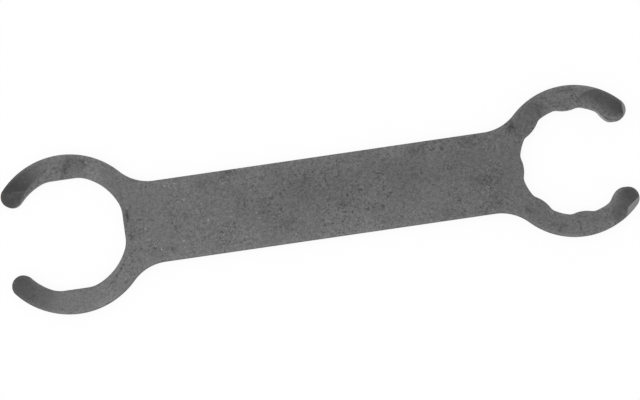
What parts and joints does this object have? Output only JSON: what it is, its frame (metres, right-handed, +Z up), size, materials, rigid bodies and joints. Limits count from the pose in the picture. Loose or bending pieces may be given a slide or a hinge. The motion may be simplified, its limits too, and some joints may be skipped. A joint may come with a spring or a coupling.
{
  "type": "open-end wrench",
  "caption": "Flat steel plate wrench with an open C-shaped jaw at each end of a plain handle, round with flats at one end and lobed at the other, for turning large round caps.",
  "frame": {"origin": "under the middle of the overall length, on the lower face of the plate", "axes": "+X along the handle towards the lobed jaw, +Y across the handle, +Z up from the lower face"},
  "size_m": [0.284, 0.072, 0.004],
  "materials": {
    "steel_plate": "dull grey bare steel, fine mottled grain, darker towards the jaw tips"
  },
  "bodies": {
    "root": {"wrench_plate": "steel_plate"}
  },
  "joints": []
}
